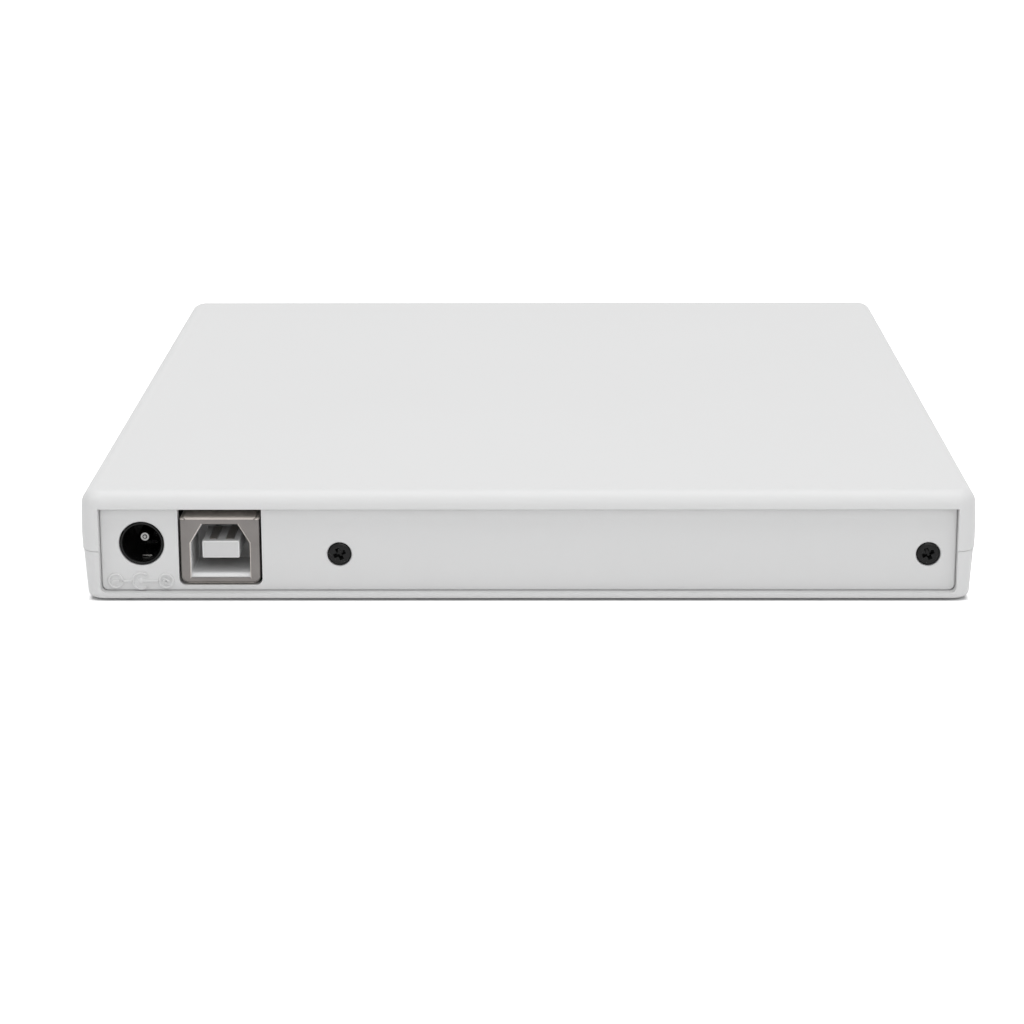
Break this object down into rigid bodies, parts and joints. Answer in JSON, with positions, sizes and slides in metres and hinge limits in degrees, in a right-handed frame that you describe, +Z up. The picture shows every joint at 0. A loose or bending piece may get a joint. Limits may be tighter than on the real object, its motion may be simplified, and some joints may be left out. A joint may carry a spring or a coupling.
{
  "type": "external disc drive",
  "caption": "Flat silver-grey external disc drive with an inset rear panel, a square data socket, a round power socket and a disc tray that slides out",
  "frame": {"origin": "centre of the bounding box in plan, at the plane that the feet stand on", "axes": "+X to the left of a viewer who looks at the rear panel, +Y out of the rear panel, +Z up; the tray slides out along -Y"},
  "size_m": [0.1342, 0.15, 0.0171],
  "materials": {
    "case_plastic": "fine satin silver-grey, moulded",
    "foot_rubber": "soft matte black rubber",
    "black_screw": "blackened steel, cross slot",
    "screw_steel": "small plated steel screws",
    "board_green": "green solder mask over glass fibre",
    "chip_black": "moulded black component bodies",
    "socket_metal": "folded tin-plated sheet, warm grey",
    "socket_plastic": "moulded off-white insulator",
    "contact_metal": "gilded contact strips",
    "black_plastic": "moulded black",
    "sheet_steel": "zinc-plated pressed sheet",
    "ground_steel": "ground and turned steel",
    "tray_plastic": "moulded dark grey, fine texture",
    "clear_plastic": "clear light pipe",
    "winding_copper": "varnished copper windings",
    "magnet_grey": "sintered magnet, dark grey",
    "pickup_metal": "die-cast zinc",
    "lens_glass": "coated objective lens",
    "ribbon_brown": "flat flexible lead"
  },
  "bodies": {
    "case": {"top_shell": "case_plastic", "bottom_shell": "case_plastic", "rubber_feet": "foot_rubber", "rear_panel": "case_plastic", "rear_panel_screws": "black_screw", "interface_board": "board_green", "board_parts": "chip_black", "usb_socket_shell": "socket_metal", "usb_socket_insulator": "socket_plastic", "usb_contacts": "contact_metal", "dc_jack_housing": "black_plastic", "dc_jack_contacts": "contact_metal", "drive_receptacle": "black_plastic", "drive_plug": "black_plastic", "drive_board": "board_green", "drive_chassis": "sheet_steel", "drive_cover": "sheet_steel", "cover_screws": "screw_steel", "drive_mount_screws": "black_screw", "rail_guides": "socket_plastic", "tray_ribbon": "ribbon_brown"},
    "right_rail": {"right_slide_rail": "sheet_steel"},
    "left_rail": {"left_slide_rail": "sheet_steel"},
    "tray_unit": {"tray": "tray_plastic", "front_bezel": "case_plastic", "lamp_light_pipe": "clear_plastic", "eject_switch": "black_plastic", "tray_bottom_plate": "sheet_steel", "tray_screws": "screw_steel", "traverse_frame": "sheet_steel", "traverse_cover": "sheet_steel", "traverse_grommets": "foot_rubber", "spindle_base": "sheet_steel", "spindle_stator": "winding_copper", "guide_shafts": "ground_steel", "sled_motor": "ground_steel", "motor_bracket": "sheet_steel", "tray_board": "board_green", "tray_board_parts": "chip_black", "lock_solenoid": "winding_copper", "ejector_plunger": "socket_plastic", "ejector_spring": "ground_steel", "pickup_ribbon": "ribbon_brown"},
    "spindle": {"rotor_magnet": "magnet_grey", "spindle_rotor": "ground_steel", "friction_ring": "foot_rubber", "spindle_shaft": "ground_steel", "spindle_hub": "tray_plastic"},
    "claw_a": {"hub_claw_a": "tray_plastic"},
    "claw_b": {"hub_claw_b": "tray_plastic"},
    "claw_c": {"hub_claw_c": "tray_plastic"},
    "pickup": {"pickup_body": "pickup_metal", "actuator_magnets": "magnet_grey", "screw_follower": "socket_plastic"},
    "lens": {"lens_holder": "black_plastic", "objective_lenses": "lens_glass"},
    "screw": {"lead_screw": "ground_steel"},
    "button": {"eject_button": "case_plastic"},
    "hook": {"lock_hook": "socket_plastic"}
  },
  "joints": [
    {"name": "tray_slide", "type": "slide", "parent": "case", "child": "tray_unit", "axis": [0, -1, 0], "range_m": [0, 0.128], "deforming": ["tray_ribbon"]},
    {"name": "right_rail_slide", "type": "slide", "parent": "case", "child": "right_rail", "axis": [0, -1, 0], "range_m": [0, 0.064]},
    {"name": "left_rail_slide", "type": "slide", "parent": "case", "child": "left_rail", "axis": [0, -1, 0], "range_m": [0, 0.064]},
    {"name": "spindle_spin", "type": "hinge", "parent": "tray_unit", "child": "spindle", "pos_m": [0, -0.008, 0.0113], "axis": [0, 0, 1], "continuous": true},
    {"name": "pickup_slide", "type": "slide", "parent": "tray_unit", "child": "pickup", "axis": [-0.7071, -0.7071, 0], "range_m": [0, 0.034], "deforming": ["pickup_ribbon"]},
    {"name": "lead_screw_turn", "type": "hinge", "parent": "tray_unit", "child": "screw", "pos_m": [0.00134, -0.0307, 0.0067], "axis": [-0.7071, -0.7071, 0], "range_deg": [-4090, 0]},
    {"name": "lens_focus", "type": "slide", "parent": "pickup", "child": "lens", "axis": [0, 0, 1], "range_m": [-0.0004, 0.0004], "stiffness_N_per_m": 40},
    {"name": "eject_button_press", "type": "slide", "parent": "tray_unit", "child": "button", "axis": [0, 1, 0], "range_m": [0, 0.0006], "stiffness_N_per_m": 1500},
    {"name": "lock_hook_turn", "type": "hinge", "parent": "tray_unit", "child": "hook", "pos_m": [0.0156, 0.0415, 0.0056], "axis": [0, 0, 1], "range_deg": [0, 10]},
    {"name": "claw_a_slide", "type": "slide", "parent": "spindle", "child": "claw_a", "axis": [0.7071, 0.7071, 0], "range_m": [0, 0.0005], "stiffness_N_per_m": 600},
    {"name": "claw_b_slide", "type": "slide", "parent": "spindle", "child": "claw_b", "axis": [-0.9659, 0.2588, 0], "range_m": [0, 0.0005], "stiffness_N_per_m": 600},
    {"name": "claw_c_slide", "type": "slide", "parent": "spindle", "child": "claw_c", "axis": [0.2588, -0.9659, 0], "range_m": [0, 0.0005], "stiffness_N_per_m": 600}
  ],
  "couplings": [
    {"joint": "right_rail_slide", "follows": "tray_slide", "ratio": 0.5},
    {"joint": "left_rail_slide", "follows": "tray_slide", "ratio": 0.5},
    {"joint": "lead_screw_turn", "follows": "pickup_slide", "rad_per_m": -2094.4}
  ]
}
